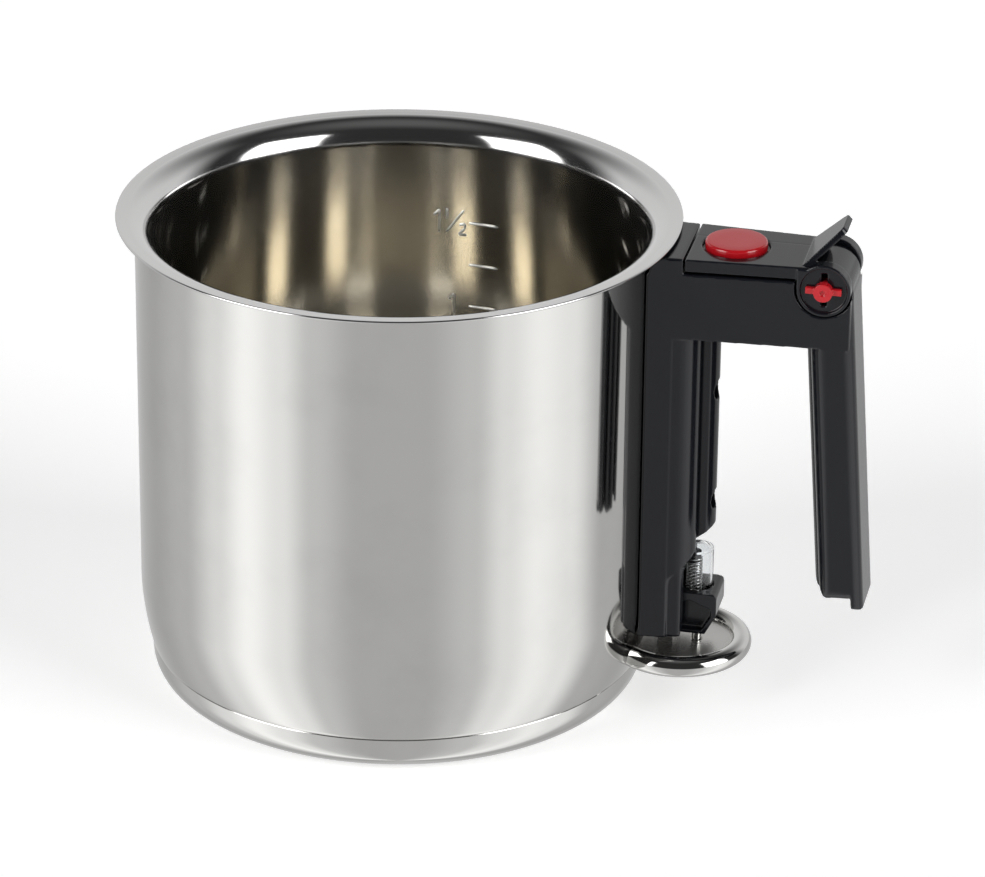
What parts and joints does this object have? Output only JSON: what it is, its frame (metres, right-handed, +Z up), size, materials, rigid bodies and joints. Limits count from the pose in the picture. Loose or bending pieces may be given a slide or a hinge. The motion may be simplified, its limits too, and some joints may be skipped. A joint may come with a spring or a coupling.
{
  "type": "double-walled melting pot",
  "caption": "Double-walled steel pot with flared rim, thick base and open bridge handle; a hinged filler flap with whistle tops the handle, a sprung latch and ring sit at its foot.",
  "frame": {"origin": "centre of the base's underside, on the surface that the pot stands on", "axes": "+Z up along the pot's axis, +X towards the handle"},
  "size_m": [0.2326, 0.1714, 0.1612],
  "materials": {
    "polished_steel": "mirror polished stainless steel",
    "satin_steel": "fine satin stainless steel",
    "aluminium_core": "plain cast aluminium",
    "black_plastic": "semi-gloss moulded black phenolic plastic",
    "red_plastic": "glossy moulded red plastic",
    "clear_plastic": "clear moulded plastic",
    "screw_steel": "bright steel",
    "whistle_brass": "plain brass",
    "seal_rubber": "soft grey silicone"
  },
  "bodies": {
    "pot": {"outer_jacket": "polished_steel", "inner_vessel": "satin_steel", "base_core": "aluminium_core", "base_cap": "polished_steel", "filler_neck": "satin_steel", "neck_collar": "satin_steel", "filler_cup": "black_plastic", "mounting_rail": "satin_steel", "rail_bosses": "satin_steel", "guard_ring": "polished_steel", "guard_plate": "satin_steel", "foot_post": "satin_steel", "handle_body": "black_plastic", "column_cover": "black_plastic", "grip_cover": "black_plastic", "handle_screws": "screw_steel", "screw_washers": "screw_steel", "spring_tube": "clear_plastic", "latch_plunger": "black_plastic"},
    "flap": {"flap": "black_plastic", "whistle_cap": "red_plastic", "whistle_barrel": "whistle_brass", "whistle_upper_disc": "whistle_brass", "whistle_lower_disc": "whistle_brass", "whistle_seal": "seal_rubber"},
    "pin": {"hinge_pin": "red_plastic"},
    "latch": {"latch_slider": "black_plastic", "latch_bolt": "screw_steel", "latch_spring": "screw_steel"}
  },
  "joints": [
    {"name": "flap_hinge", "type": "hinge", "parent": "pot", "child": "flap", "pos_m": [0.1316, 0, 0.1434], "axis": [0, 1, 0], "range_deg": [0, 75]},
    {"name": "hinge_pin_turn", "type": "hinge", "parent": "pot", "child": "pin", "pos_m": [0.1316, 0, 0.1434], "axis": [0, 1, 0], "range_deg": [0, 90]},
    {"name": "latch_slide", "type": "slide", "parent": "pot", "child": "latch", "axis": [0, 0, 1], "range_m": [0, 0.006], "stiffness_N_per_m": 300, "springref_m": -0.003, "deforming": ["latch_spring"]}
  ]
}
